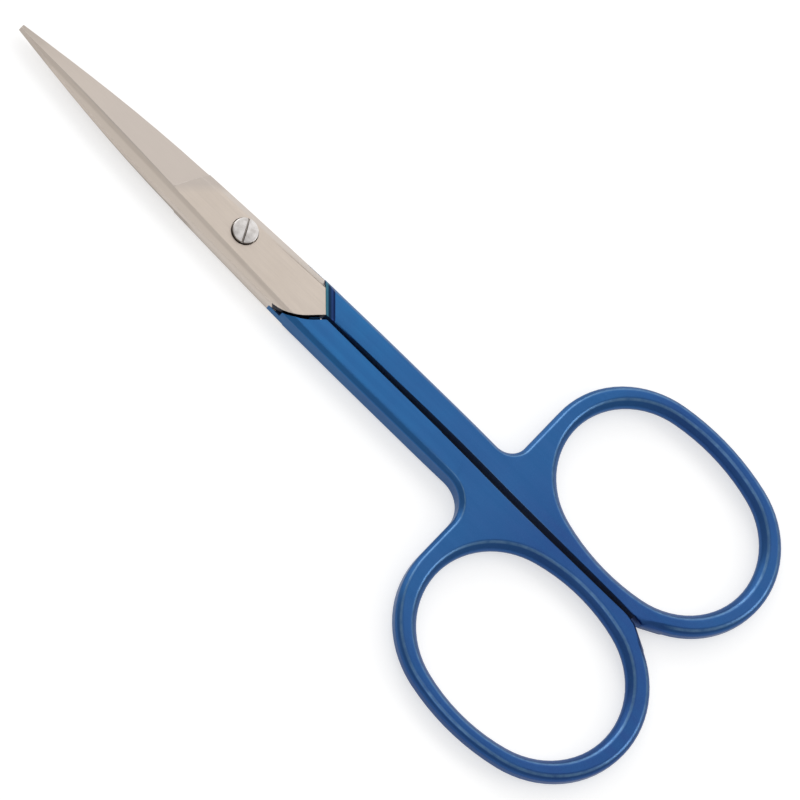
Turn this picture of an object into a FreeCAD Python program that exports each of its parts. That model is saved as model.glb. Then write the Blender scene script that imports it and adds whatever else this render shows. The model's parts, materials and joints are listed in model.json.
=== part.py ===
import FreeCAD, Part
import Sketcher
import math
import os

# Cuticle scissors: two crossed steel halves that turn on one slotted screw.
# Millimetres. The blades point along +Y, the pivot axis is parallel to Z, and
# the closed scissors lie on the plane z = 0 with the screw head upwards.
# Each half is drawn in its own frame: x = 0 is the centre line of the closed
# scissors, z = 0 is the plane where the two blades slide on each other, and
# the half's own shank lies on the +x side. The rear half is the same forging
# turned over about its length.

SIZES = [
    ("tip_reach", 29.05, "pivot to blade tip"),
    ("tip_width", 0.52, "width of the blunt tip"),
    ("spine_radius", 150.0, "curve of the blade's back"),
    ("spine_start", 5.0, "pivot to where the back starts to curve"),
    ("spine_half", 2.58, "centre line to the back of the blade"),
    ("edge_radius", 142.0, "curve of the cutting edge"),
    ("edge_start", 7.0, "pivot to the heel of the cutting edge"),
    ("layer", 1.15, "thickness of each half where they cross"),
    ("tip_layer", 0.6, "thickness of each blade at the tip"),
    ("edge_layer", 0.62, "thickness left at the heel of the cutting edge"),
    ("edge_tip_layer", 0.2, "thickness left at the tip of the cutting edge"),
    ("ridge_half", 1.76, "centre line to the ridge, at the pivot"),
    ("ridge_run", 0.0475, "how much the ridge closes in per millimetre"),
    ("bevel_slope", 0.42, "fall of the bevels per millimetre"),
    ("plunge", 7.33, "pivot to the line where the ground face starts"),
    ("plunge_angle", 25.0, "slant of that line"),
    ("pivot_offset", 0.48, "centre line to the pivot axis"),
    ("shank_half", 3.0, "centre line to the outside of a shank"),
    ("shank_thickness", 2.8, "thickness of a shank"),
    ("shank_start", 20.0, "pivot to the straight stretch of the shank"),
    ("side_radius", 600.0, "curve of the side from shank to blade"),
    ("shank_bevel", 0.47, "bevel along the outer rims of shank and bow"),
    ("hole_bevel", 0.68, "bevel along the rims of a finger hole"),
    ("apex", 11.15, "pivot to the point of the V"),
    ("v_rise", 2.4, "rise of the V from its point to its outer end"),
    ("ramp_run", 0.8, "width of the hollow along the V"),
    ("ramp_share", 0.9, "part of the step that the hollow takes up"),
    ("heel_rise", 2.65, "rise of the heel from the V's point to its outer corner"),
    ("heel_radius", 4.4, "rounding of the heel"),
    ("heel_gap", 0.55, "gap between the heel and the other shoulder"),
    ("heel_side_gap", 0.12, "the same gap where the shoulder runs out at the side"),
    ("gap_joint", 0.27, "gap between the shanks at the V"),
    ("gap_middle", 0.74, "gap between the shanks at its widest"),
    ("gap_bow", 0.43, "gap between the bows where they part"),
    ("gap_end", 52.5, "pivot to the end of the gap's curve"),
    ("part_angle", 30.0, "turn of a bow's outline where the bows part"),
    ("part_radius", 4.0, "rounding of that turn"),
    ("hole_centre", 47.27, "pivot to the middle of the finger holes"),
    ("hole_inner", 1.93, "centre line to the near side of a finger hole"),
    ("hole_length", 22.48, "length of a finger hole"),
    ("front_hole_width", 17.09, "width of the front half's finger hole"),
    ("rear_hole_width", 17.96, "width of the rear half's finger hole"),
    ("front_lean", 2.9, "lean of the front bow towards the centre line"),
    ("rear_lean", 0.0, "lean of the rear bow towards the centre line"),
    ("side_flat", 0.38, "half width of an oval less its end radius"),
    ("outer_bar", 1.9, "bow bar on the outside"),
    ("inner_bar", 2.05, "bow bar on the inside, before the gap"),
    ("front_end_bar", 2.25, "front bow's bar at its top and bottom"),
    ("rear_end_bar", 2.4, "rear bow's bar at its top and bottom"),
    ("bow_thickness", 2.0, "thickness of a bow"),
    ("front_root", 2.1, "rounding between the front shank and its bow"),
    ("rear_root", 3.2, "rounding between the rear shank and its bow"),
    ("taper_start", 26.0, "pivot to where the shank starts to thin"),
    ("taper_end", 40.0, "pivot to where the bow has its own thickness"),
    ("head_diameter", 2.6, "screw head"),
    ("head_height", 0.75, "screw head, rim to seat"),
    ("head_dome", 0.12, "rise of the screw head's crown"),
    ("head_seat", 0.45, "depth of the recess for the head"),
    ("head_room", 0.1, "gap around the head in its recess"),
    ("slot_width", 0.28, "screw slot"),
    ("slot_depth", 0.36, "screw slot, from the crown"),
    ("slot_angle", 26.0, "how far the slot is turned from the x axis"),
    ("journal_diameter", 1.9, "plain part of the screw, where the front half turns"),
    ("journal_play", 0.03, "gap around and above the plain part"),
    ("thread_diameter", 1.5, "threaded end of the screw"),
    ("thread_play", 0.01, "gap around the threaded end"),
    ("peen_diameter", 2.0, "end of the screw, spread over the rear half"),
    ("peen_height", 0.13, "end of the screw, beyond the rear half"),
    ("margin", 1.0, "how far a cut runs past the metal"),
]

doc = FreeCAD.newDocument("cuticle_scissors")
sheet = doc.addObject("Spreadsheet::Sheet", "Sizes")
for number, (alias, value, meaning) in enumerate(SIZES, start=1):
    sheet.set(f"A{number}", meaning)
    sheet.set(f"B{number}", str(value))
    sheet.setAlias(f"B{number}", alias)
doc.recompute()


class Size:
    """A number together with the expression that ties it to the sheet."""

    def __init__(self, value, text):
        self.value = value
        self.text = text

    def __add__(self, other):
        other = as_size(other)
        return Size(self.value + other.value, f"({self.text} + {other.text})")

    def __sub__(self, other):
        other = as_size(other)
        return Size(self.value - other.value, f"({self.text} - {other.text})")

    def __mul__(self, other):
        other = as_size(other)
        return Size(self.value * other.value, f"({self.text} * {other.text})")

    def __truediv__(self, other):
        other = as_size(other)
        return Size(self.value / other.value, f"({self.text} / {other.text})")

    def __neg__(self):
        return Size(-self.value, f"(0 - {self.text})")


def as_size(number):
    """Accept a plain number where a size is meant."""
    if isinstance(number, Size):
        return number
    return Size(float(number), repr(float(number)))


def size(alias):
    return Size(float(sheet.get(alias)), f"Sizes.{alias}")


def root(number):
    return Size(math.sqrt(number.value), f"sqrt({number.text})")


def sine(degrees):
    return Size(math.sin(math.radians(degrees.value)), f"sin({degrees.text} * 1 deg)")


def cosine(degrees):
    return Size(math.cos(math.radians(degrees.value)), f"cos({degrees.text} * 1 deg)")


def arc_tangent(slope):
    return Size(math.degrees(math.atan(slope.value)), f"atan({slope.text})")


def tie(item, field, length):
    """Bind one property of a feature to the sheet."""
    item.setExpression(field, length.text)


class Corner:
    """A corner of an outline, which is listed counter-clockwise.

    bend is the radius of the curve from this corner to the next, which swells
    outwards unless inward is set; rounding is the radius of the corner itself.
    """

    def __init__(self, x, y, bend=None, inward=False, rounding=None):
        self.x = as_size(x)
        self.y = as_size(y)
        self.bend = bend
        self.inward = inward
        self.rounding = rounding
        self.point = FreeCAD.Vector(self.x.value, self.y.value, 0)


def towards(start, end, distance):
    step = end.sub(start)
    return start.add(step.multiply(distance / step.Length))


def curve_between(start, end, radius, inward):
    """An arc from start to end of an outline, swelling outwards or inwards."""
    chord = end.sub(start)
    middle = start.add(end).multiply(0.5)
    left = FreeCAD.Vector(-chord.y, chord.x, 0).normalize()
    reach = math.sqrt(max(radius ** 2 - (chord.Length / 2) ** 2, 0))
    centre = middle.add(left.multiply(-reach if inward else reach))
    first, last = (end, start) if inward else (start, end)
    turn = [math.atan2(p.y - centre.y, p.x - centre.x) for p in (first, last)]
    circle = Part.Circle(centre, FreeCAD.Vector(0, 0, 1), radius)
    return Part.ArcOfCircle(circle, turn[0], turn[1])


class Outline:
    """A closed sketch whose corners and radii are all tied to the sheet."""

    def __init__(self, body, name, plane, corners, offset=None):
        self.sketch = body.newObject("Sketcher::SketchObject", name)
        support = next(f for f in body.Origin.OriginFeatures if f.Role == plane)
        self.sketch.AttachmentSupport = [(support, "")]
        self.sketch.MapMode = "FlatFace"
        for field, length in (offset or {}).items():
            tie(self.sketch, f"AttachmentOffset.{field}", length)
        self.draw(corners)

    def dimension(self, kind, *where):
        """Add one dimension, whose last argument is a size, and tie it."""
        length = where[-1]
        index = self.sketch.addConstraint(Sketcher.Constraint(kind, *where[:-1], length.value))
        tie(self.sketch, f"Constraints[{index}]", length)

    def place(self, item, end, corner):
        """Fix a point by its distances from the sketch's two axes."""
        for kind, axis, length in (("DistanceX", -2, corner.x), ("DistanceY", -1, corner.y)):
            if length.value == 0:
                self.sketch.addConstraint(Sketcher.Constraint("PointOnObject", item, end, axis))
            else:
                self.dimension(kind, -1, 1, item, end, length)

    def draw(self, corners):
        """Lines and arcs from corner to corner, then what holds them there."""
        count = len(corners)
        enter = []
        leave = []
        for number, corner in enumerate(corners):
            before = corners[number - 1].point
            after = corners[(number + 1) % count].point
            trim = 0.0
            if corner.rounding:
                turn = before.sub(corner.point).getAngle(after.sub(corner.point))
                trim = corner.rounding.value / math.tan(turn / 2)
            enter.append(towards(corner.point, before, trim))
            leave.append(towards(corner.point, after, trim))
        sides = []
        for number, corner in enumerate(corners):
            start = leave[number]
            end = enter[(number + 1) % count]
            if corner.bend:
                shape = curve_between(start, end, corner.bend.value, corner.inward)
                item = self.sketch.addGeometry(shape)
                self.dimension("Radius", item, corner.bend)
                sides.append((item, 2, 1) if corner.inward else (item, 1, 2))
            else:
                item = self.sketch.addGeometry(Part.LineSegment(start, end))
                sides.append((item, 1, 2))
        for number, corner in enumerate(corners):
            last, _, last_end = sides[number - 1]
            item, start_end, _ = sides[number]
            if not corner.rounding:
                self.sketch.addConstraint(Sketcher.Constraint("Coincident", last, last_end, item, start_end))
                self.place(item, start_end, corner)
                continue
            a, b = enter[number], leave[number]
            left_turn = corner.point.sub(a).cross(b.sub(corner.point)).z > 0
            shape = curve_between(a, b, corner.rounding.value, not left_turn)
            arc = self.sketch.addGeometry(shape)
            ends = (1, 2) if left_turn else (2, 1)
            self.sketch.addConstraint(Sketcher.Constraint("Tangent", last, last_end, arc, ends[0]))
            self.sketch.addConstraint(Sketcher.Constraint("Tangent", arc, ends[1], item, start_end))
            self.dimension("Radius", arc, corner.rounding)
            mark = self.sketch.addGeometry(Part.Point(corner.point), True)
            self.sketch.addConstraint(Sketcher.Constraint("PointOnObject", mark, 1, last))
            self.sketch.addConstraint(Sketcher.Constraint("PointOnObject", mark, 1, item))
            self.place(mark, 1, corner)


# Least change of volume, in cubic millimetres, that counts as a cut or a pad
SMALLEST_CHANGE = 1e-6
# How near to a given point an edge has to pass, in millimetres
NEAR = 0.01
DEGREE = Size(1.0, "1 deg")


def check_change(body, name, before):
    """Stop where a feature left the metal as it was."""
    change = body.Shape.Volume - before
    print(name, "changes the volume by", round(change, 3))
    if abs(change) < SMALLEST_CHANGE:
        raise RuntimeError(f"{name} does nothing")


def add(body, kind, name, outline, **settings):
    """Make one feature of a body from an outline and check that it changed the metal."""
    before = body.Shape.Volume if body.Tip else 0.0
    item = body.newObject(f"PartDesign::{kind}", name)
    item.Profile = outline.sketch
    for field, setting in settings.items():
        if isinstance(setting, Size):
            tie(item, field, setting)
        else:
            setattr(item, field, setting)
    doc.recompute()
    check_change(body, name, before)
    return item


def side_at(y):
    """Half width of the closed scissors at a height above the straight shank."""
    rise = size("shank_start") + y
    radius = size("side_radius")
    return size("shank_half") - (radius - root(radius * radius - rise * rise))


def section(body, name, y, inner, outer, turn=None):
    """A wedge across the blade: everything above the line from inner to outer goes."""
    scale = cosine(turn) if turn else as_size(1)
    high = size("shank_thickness")
    corners = [
        Corner(outer[0] / scale, outer[1]),
        Corner(outer[0] / scale, high),
        Corner(inner[0] / scale, high),
        Corner(inner[0] / scale, inner[1]),
    ]
    if outer[0].value < inner[0].value:
        corners.reverse()
    outline = Outline(body, name, "XZ_Plane", corners)
    stand(outline, (-turn) * DEGREE if turn else None, {"Base.z": -y})
    return outline


def stand(outline, angle, base):
    """Move an upright sketch, and turn it about the vertical."""
    if angle:
        upright = FreeCAD.Rotation(FreeCAD.Vector(0, 1, 0), angle.value)
        outline.sketch.AttachmentOffset = FreeCAD.Placement(FreeCAD.Vector(), upright)
        tie(outline.sketch, "AttachmentOffset.Rotation.Angle", angle)
    for field, length in base.items():
        tie(outline.sketch, f"AttachmentOffset.{field}", length)


def beyond(point, other, reach):
    """The point on the line from other through point, a given width past it."""
    slope = (point[1] - other[1]) / (point[0] - other[0])
    return (point[0] + reach, point[1] + slope * reach)


def grind(body, name, sections):
    item = body.newObject("PartDesign::SubtractiveLoft", name)
    before = body.Shape.Volume
    item.Profile = sections[0].sketch
    item.Sections = [outline.sketch for outline in sections[1:]]
    item.Ruled = True
    doc.recompute()
    check_change(body, name, before)


def disc(body, name, radius, offset):
    """A full circle around the sketch's own origin."""
    outline = Outline(body, name, "XY_Plane", [], offset)
    circle = Part.Circle(FreeCAD.Vector(), FreeCAD.Vector(0, 0, 1), radius.value)
    item = outline.sketch.addGeometry(circle)
    outline.sketch.addConstraint(Sketcher.Constraint("Coincident", item, 3, -1, 1))
    outline.dimension("Radius", item, radius)
    return outline


def dress(body, name, kind, points, **settings):
    """Bevel or round the edges that pass through the given points."""
    before = body.Shape.Volume
    tip = body.Tip
    edges = []
    for point in points:
        spot = Part.Vertex(*[length.value for length in point])
        gaps = [edge.distToShape(spot)[0] for edge in tip.Shape.Edges]
        nearest = min(range(len(gaps)), key=gaps.__getitem__)
        if gaps[nearest] > NEAR:
            raise RuntimeError(f"{name}: no edge at {spot.Point}")
        edges.append(f"Edge{nearest + 1}")
    item = body.newObject(f"PartDesign::{kind}", name)
    item.Base = (tip, edges)
    for field, setting in settings.items():
        if isinstance(setting, Size):
            tie(item, field, setting)
        else:
            setattr(item, field, setting)
    doc.recompute()
    check_change(body, name, before)
    return item


def turned_round(corners):
    """The same outline listed the other way round, each bend kept with its side."""
    bends = [(corner.bend, corner.inward) for corner in corners]
    corners = corners[::-1]
    for number, corner in enumerate(corners):
        corner.bend, corner.inward = bends[len(corners) - 2 - number]
        corner.inward = not corner.inward
    return corners


def oval(half_width, half_length):
    """End radius, side radius and first joint of a four-arc oval."""
    end = half_width - size("side_flat")
    square = half_length * half_length - half_length * end * 2 + half_width * half_width
    flat = square / (size("side_flat") * 2)
    joint_x = end * (flat - half_width) / (flat - end)
    joint_y = (half_length - end) * flat / (flat - end)
    return end, flat, joint_x, joint_y


def ridge_at(y):
    return size("ridge_half") - size("ridge_run") * y


def dome(radius, rise):
    """Radius of the ball whose cap has the given rim and rise."""
    return (radius * radius + rise * rise) / (rise * 2)


def make_half(name, side, pivot_x, recessed):
    """One half: blade and tang in the upper layer, then shank and bow."""
    body = doc.addObject("PartDesign::Body", name)
    body.Label = name
    half_thickness = size("shank_thickness") / 2
    margin = size("margin")
    apex = Corner(size("gap_joint") / 2, -size("apex"))
    shank = Corner(size("shank_half"), -size("shank_start"), bend=size("side_radius"))
    inner_shank = Corner(size("gap_middle") / 2, -size("shank_start"))
    heel_y = size("heel_rise") - size("apex")
    heel_x = side_at(heel_y)
    v_y = size("v_rise") - size("apex")
    v_x = side_at(v_y)

    # Blade and tang
    blade = Outline(body, name + "_blade_outline", "XY_Plane", [
        Corner(side_at(size("edge_start")), size("edge_start"), bend=size("edge_radius")),
        Corner(size("tip_width") / 2, size("tip_reach")),
        Corner(-size("tip_width") / 2, size("tip_reach"), bend=size("spine_radius")),
        Corner(-size("spine_half"), size("spine_start")),
        Corner(-heel_x, heel_y, rounding=size("heel_radius")),
        apex,
        inner_shank,
        shank,
    ])
    add(body, "Pad", name + "_blade", blade, Length=size("layer"))

    # Bevels beside the flat of the tang, and the ground face of the blade
    low_y = -size("apex") - margin
    tip_y = size("tip_reach") + margin
    stations = [(low_y, size("layer")), (size("plunge"), size("layer")), (tip_y, size("tip_layer"))]
    for sign, label, length in ((-1, "back", 3), (1, "tang", 2)):
        wedges = []
        for number, (y, height) in enumerate(stations[:length]):
            ridge = (ridge_at(y) * sign, height)
            wide = (ridge[0] + size("spine_half") * sign, height - size("bevel_slope") * size("spine_half"))
            high = (ridge[0] - margin * sign, height + size("bevel_slope") * margin)
            wedges.append(section(body, f"{name}_{label}_{number}", y, high, wide))
        grind(body, f"{name}_{label}_bevel", wedges)
    plunge_ridge = (-ridge_at(size("plunge")), size("layer"))
    plunge_edge = (side_at(size("edge_start")), size("edge_layer"))
    tip_ridge = (-ridge_at(tip_y), size("tip_layer"))
    tip_edge = (size("tip_width") / 2, size("edge_tip_layer"))
    wedges = []
    for label, y, ridge, edge, turn in (
        ("plunge", size("plunge"), plunge_ridge, plunge_edge, size("plunge_angle")),
        ("tip", tip_y, tip_ridge, tip_edge, None),
    ):
        high = beyond(ridge, edge, -margin)
        low = beyond(edge, ridge, margin)
        wedges.append(section(body, f"{name}_face_{label}", y, high, low, turn))
    grind(body, f"{name}_ground_face", wedges)

    # Shank and bow: an oval whose top runs level into the shank
    lean = size(side + "_lean")
    half_width = size(side + "_hole_width") / 2
    half_length = size("hole_length") / 2
    bow_width = half_width + (size("inner_bar") + size("outer_bar")) / 2
    bow_length = half_length + size(side + "_end_bar")
    end_radius, flat_radius, joint_x, joint_y = oval(bow_width, bow_length)
    across = (cosine(lean), -sine(lean))
    along = (sine(lean), cosine(lean))
    shift = (size("inner_bar") - size("outer_bar")) / 2
    centre_x = size("hole_inner") + half_width - shift * across[0]
    centre_y = -size("hole_centre") - shift * across[1]

    def on_bow(a, b):
        return centre_x + a * across[0] + b * along[0], centre_y + a * across[1] + b * along[1]

    lower_x, lower_y = on_bow(joint_x, -joint_y)
    upper_x, upper_y = on_bow(joint_x, joint_y)
    top_x, top_y = on_bow(as_size(0), bow_length - end_radius)
    top_y = top_y + end_radius
    inner_x = centre_x + (flat_radius - bow_width) * across[0] - flat_radius
    end_x, end_y = on_bow(as_size(0), end_radius - bow_length)
    turn = (sine(size("part_angle")), cosine(size("part_angle")))
    part_x = end_x - end_radius * turn[1]
    part_y = end_y - end_radius * turn[0]
    inner_y = part_y + (part_x - inner_x) * turn[1] / turn[0]
    handle = Outline(body, name + "_handle_outline", "XY_Plane", [
        apex,
        Corner(inner_x, apex.y),
        Corner(inner_x, inner_y, rounding=size("part_radius")),
        Corner(part_x, part_y, bend=end_radius),
        Corner(lower_x, lower_y, bend=flat_radius),
        Corner(upper_x, upper_y, bend=end_radius),
        Corner(top_x, top_y),
        Corner(size("shank_half"), top_y, rounding=size(side + "_root")),
        shank,
        Corner(v_x, v_y),
    ])
    add(body, "Pad", name + "_handle", handle, Length=size("shank_thickness"), SideType="Symmetric")

    # Lower layer of the shank, which ends in a shoulder behind the other heel
    lap = Outline(body, name + "_lap_outline", "XY_Plane", [
        apex,
        inner_shank,
        shank,
        Corner(side_at(as_size(0)), 0),
    ])
    add(body, "Pad", name + "_lap", lap, Length=half_thickness, Reversed=True)
    heel_slope = size("heel_rise") / (heel_x + size("gap_joint") / 2)
    drop = size("heel_gap") * root(heel_slope * heel_slope + 1)
    shoulder_x = heel_x + size("heel_side_gap")
    shoulder_y = heel_slope * size("heel_side_gap") + heel_y - drop
    low_shoulder = -size("apex") - drop
    shoulder = Outline(body, name + "_shoulder_outline", "XY_Plane", [
        Corner(-size("gap_joint") / 2, low_shoulder),
        Corner(shoulder_x, shoulder_y, rounding=size("heel_radius") + size("heel_gap")),
        Corner(shoulder_x, margin),
        Corner(-margin, margin),
        Corner(-margin, low_shoulder),
    ])
    add(body, "Pocket", name + "_shoulder", shoulder, Type="ThroughAll")

    # Finger hole
    end_radius, flat_radius, joint_x, joint_y = oval(half_width, half_length)
    hole_x, hole_y = on_bow(shift, as_size(0))
    hole = Outline(body, name + "_hole_outline", "XY_Plane", [
        Corner(joint_x, -joint_y, bend=flat_radius),
        Corner(joint_x, joint_y, bend=end_radius),
        Corner(-joint_x, joint_y, bend=flat_radius),
        Corner(-joint_x, -joint_y, bend=end_radius),
    ], {"Base.x": hole_x, "Base.y": hole_y, "Rotation.Angle": (-lean) * DEGREE})
    add(body, "Pocket", name + "_hole", hole, Type="ThroughAll", SideType="Symmetric")

    # The shank thins into the bow along two matched curves, above and below
    bow_half = size("bow_thickness") / 2
    fall = (half_thickness - bow_half) / 2
    run = (size("taper_end") - size("taper_start")) / 2
    taper_radius = (run * run + fall * fall) / (fall * 2)
    far = -size("hole_centre") - bow_length - margin
    for sign, label in ((1, "top"), (-1, "under")):
        corners = [
            Corner(far, bow_half * sign),
            Corner(-size("taper_end"), bow_half * sign, bend=taper_radius, inward=sign < 0),
            Corner(-size("taper_end") + run, (bow_half + fall) * sign, bend=taper_radius, inward=sign > 0),
            Corner(-size("taper_start"), half_thickness * sign),
            Corner(-size("taper_start"), (half_thickness + margin) * sign),
            Corner(far, (half_thickness + margin) * sign),
        ]
        if sign < 0:
            corners = turned_round(corners)
        taper = Outline(body, f"{name}_taper_{label}_outline", "YZ_Plane", corners)
        add(body, "Pocket", f"{name}_taper_{label}", taper, Type="ThroughAll", SideType="Symmetric")

    # Bevels along the rims of shank, bow and finger hole, above and below
    middle_shank = -(size("shank_start") + size("taper_start")) / 2
    hole_side_x, hole_side_y = on_bow(shift + half_width, as_size(0))
    for sign, label in ((1, "top"), (-1, "under")):
        outer = (size("shank_half"), middle_shank, half_thickness * sign)
        dress(body, f"{name}_rim_{label}", "Chamfer", [outer], Size=size("shank_bevel"))
        inner = (hole_side_x, hole_side_y, bow_half * sign)
        dress(body, f"{name}_hole_rim_{label}", "Chamfer", [inner], Size=size("hole_bevel"))

    # The gap between the two shanks, a little wider in the middle
    gap_x = size("gap_bow") / 2
    gap_y = -size("gap_end")
    chord_x = gap_x - apex.x
    chord_y = gap_y - apex.y
    swell = size("gap_middle") / 2 - (size("gap_joint") + size("gap_bow")) / 4
    gap_radius = (chord_x * chord_x + chord_y * chord_y) / (swell * 8) + swell / 2
    clear_x = inner_x - margin
    gap = Outline(body, name + "_gap_outline", "XY_Plane", [
        Corner(gap_x, gap_y, bend=gap_radius),
        apex,
        Corner(clear_x, apex.y),
        Corner(clear_x, far),
        Corner(gap_x, far),
    ])
    add(body, "Pocket", name + "_gap", gap, Type="ThroughAll", SideType="Symmetric")

    # Hollow along the V, where the shank stands a little proud of the tang
    rise = (half_thickness - size("layer")) * size("ramp_share")
    foot = half_thickness - rise
    run = size("ramp_run")
    hollow = (run * run + rise * rise) / (rise * 2)
    heading = size("v_rise") / (v_x - apex.x)
    ramp = Outline(body, name + "_ramp_outline", "XZ_Plane", [
        Corner(-margin, foot),
        Corner(0, foot, bend=hollow),
        Corner(run, half_thickness),
        Corner(run, half_thickness + margin),
        Corner(-margin, half_thickness + margin),
    ])
    stand(ramp, arc_tangent(heading) - DEGREE * 90, {"Base.x": apex.x, "Base.z": -apex.y})
    add(body, "Pocket", name + "_ramp", ramp, Type="ThroughAll", SideType="Symmetric")

    # Pivot hole, with a recess for the screw head in the front half
    bore = size("journal_diameter") / 2 + size("journal_play")
    if not recessed:
        bore = size("thread_diameter") / 2 + size("thread_play")
    pivot = disc(body, name + "_pivot_outline", bore, {"Base.x": pivot_x})
    add(body, "Pocket", name + "_pivot", pivot, Type="ThroughAll", SideType="Symmetric")
    if recessed:
        recess = size("head_diameter") / 2 + size("head_room")
        seat = disc(body, name + "_seat_outline", recess, {"Base.x": pivot_x, "Base.z": size("layer")})
        add(body, "Pocket", name + "_seat", seat, Length=size("head_seat"))
    return body


def make_screw():
    """The slotted screw: crown, head, plain journal, threaded end, spread tail."""
    body = doc.addObject("PartDesign::Body", "pivot_screw")
    body.Label = "pivot_screw"
    contact = size("shank_thickness") / 2
    tail_z = contact - size("layer")
    tail = size("peen_diameter") / 2
    seat_z = contact + size("layer") - size("head_seat") + size("journal_play")
    rim_z = seat_z + size("head_height")
    head = size("head_diameter") / 2
    journal = size("journal_diameter") / 2
    thread = size("thread_diameter") / 2
    profile = Outline(body, "screw_profile", "XZ_Plane", [
        Corner(0, tail_z - size("peen_height"), bend=dome(tail, size("peen_height"))),
        Corner(tail, tail_z),
        Corner(thread, tail_z),
        Corner(thread, contact),
        Corner(journal, contact),
        Corner(journal, seat_z),
        Corner(head, seat_z),
        Corner(head, rim_z, bend=dome(head, size("head_dome"))),
        Corner(0, rim_z + size("head_dome")),
    ])
    axis = next(f for f in body.Origin.OriginFeatures if f.Role == "Z_Axis")
    add(body, "Revolution", "screw_turned", profile, ReferenceAxis=(axis, [""]), Angle=360)
    half_width = size("slot_width") / 2
    reach = size("head_diameter")
    slot = Outline(body, "screw_slot_outline", "XY_Plane", [
        Corner(reach, -half_width),
        Corner(reach, half_width),
        Corner(-reach, half_width),
        Corner(-reach, -half_width),
    ], {"Base.z": rim_z + size("head_dome"), "Rotation.Angle": size("slot_angle") * DEGREE})
    add(body, "Pocket", "screw_slot", slot, Length=size("slot_depth"))
    return body


front_half = make_half("front_half", "front", size("pivot_offset"), True)
rear_half = make_half("rear_half", "rear", -size("pivot_offset"), False)
pivot_screw = make_screw()

# The origin is the middle of the bottom of the closed scissors' box
centre_x = (size("front_hole_width") - size("rear_hole_width")) / 2 - size("pivot_offset")
bow_end = size("hole_centre") + size("hole_length") / 2 + size("rear_end_bar")
centre_y = (size("tip_reach") - bow_end) / 2
turned_over = FreeCAD.Rotation(FreeCAD.Vector(0, 1, 0), 180)
rear_half.Placement = FreeCAD.Placement(FreeCAD.Vector(), turned_over)
for half in (front_half, rear_half):
    tie(half, "Placement.Base.x", -size("pivot_offset") - centre_x)
    tie(half, "Placement.Base.y", -centre_y)
    tie(half, "Placement.Base.z", size("shank_thickness") / 2)
tie(pivot_screw, "Placement.Base.x", -centre_x)
tie(pivot_screw, "Placement.Base.y", -centre_y)
doc.recompute()

for item in doc.Objects:
    if "Invalid" in item.State or "Error" in item.State:
        raise RuntimeError(f"{item.Name} did not build")
os.makedirs("parts", exist_ok=True)
for body in (front_half, rear_half, pivot_screw):
    if body.Shape.isNull() or not body.Shape.isValid() or len(body.Shape.Solids) != 1:
        raise RuntimeError(f"{body.Label} is not one sound solid")
    body.Shape.exportStep(f"parts/{body.Label}.step")
    box = body.Shape.optimalBoundingBox()
    print(body.Label, "from", tuple(round(x, 3) for x in (box.XMin, box.YMin, box.ZMin)),
          "to", tuple(round(x, 3) for x in (box.XMax, box.YMax, box.ZMax)))
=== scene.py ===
# %% [markdown]
# # Cuticle scissors
# Two crossed steel halves turn on one slotted screw. The blades and the tangs
# around the screw are bare ground steel, and the shanks and finger bows wear a
# thin satin blue coat that stops at a V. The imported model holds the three
# solids in metres. This lesson softens the halves' rims, splits them at the
# coat's edge, turns a new screw, gives the pieces finishes, and sets up a
# floor, light and the camera of the photograph.

import json
import math

import bmesh
import bpy
from mathutils import Matrix, Vector


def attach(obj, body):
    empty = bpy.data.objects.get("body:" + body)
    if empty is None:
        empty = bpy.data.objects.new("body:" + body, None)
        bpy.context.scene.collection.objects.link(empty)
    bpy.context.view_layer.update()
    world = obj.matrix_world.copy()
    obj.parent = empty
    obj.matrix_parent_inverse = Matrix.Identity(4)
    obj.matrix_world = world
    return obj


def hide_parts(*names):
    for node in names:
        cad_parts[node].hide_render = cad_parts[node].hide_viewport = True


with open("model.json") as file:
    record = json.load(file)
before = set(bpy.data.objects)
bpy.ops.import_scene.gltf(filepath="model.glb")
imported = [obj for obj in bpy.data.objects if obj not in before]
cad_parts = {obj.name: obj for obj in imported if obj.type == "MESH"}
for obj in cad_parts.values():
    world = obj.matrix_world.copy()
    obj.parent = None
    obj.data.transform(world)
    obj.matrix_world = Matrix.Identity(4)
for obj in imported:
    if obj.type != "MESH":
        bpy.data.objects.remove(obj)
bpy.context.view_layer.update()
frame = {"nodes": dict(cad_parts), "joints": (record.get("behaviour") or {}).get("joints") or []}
MM = 0.001
print("solids:", sorted(frame["nodes"]))

# %% [markdown]
# ## Places that the pieces share
# Each half is drawn from a centre line and from the plane where the blades
# slide on each other. The coat's edge follows a V that is given from there, so
# these few places are written once and used by several steps. The rear half is
# the same forging turned over about its length, which is why one drawing with
# a sign in it serves for both.

# %% Centre line, sliding plane and the V
PIVOT = Vector(frame["joints"][0]["pos_m"])
CENTRE_X = PIVOT.x - 0.48 * MM
SLIDING_Z = 1.4 * MM
V_POINT = (0.135 * MM, -11.15 * MM)
V_END = (2.895 * MM, -8.75 * MM)
WALL_COAT_END = (2.85 * MM, -6.6 * MM)
SIDES = {"front": 1, "rear": -1}
print("pivot in mm:", [round(x / MM, 3) for x in PIVOT])

# %% [markdown]
# ## A clean copy of a solid
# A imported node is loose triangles: good for measuring, poor for modelling. A
# copy is welded first, and then flat areas that were cut into triangles are
# joined again, so that cutting and bevelling meet whole faces. Joining only
# faces that are flat to a fifth of a degree leaves every curve as it was.

# %% Weld and join
WELD = 0.0005 * MM
FLAT = math.radians(0.2)


def add_to_scene(name, data):
    item = bpy.data.objects.new(name, data)
    bpy.context.scene.collection.objects.link(item)
    return item


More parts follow.
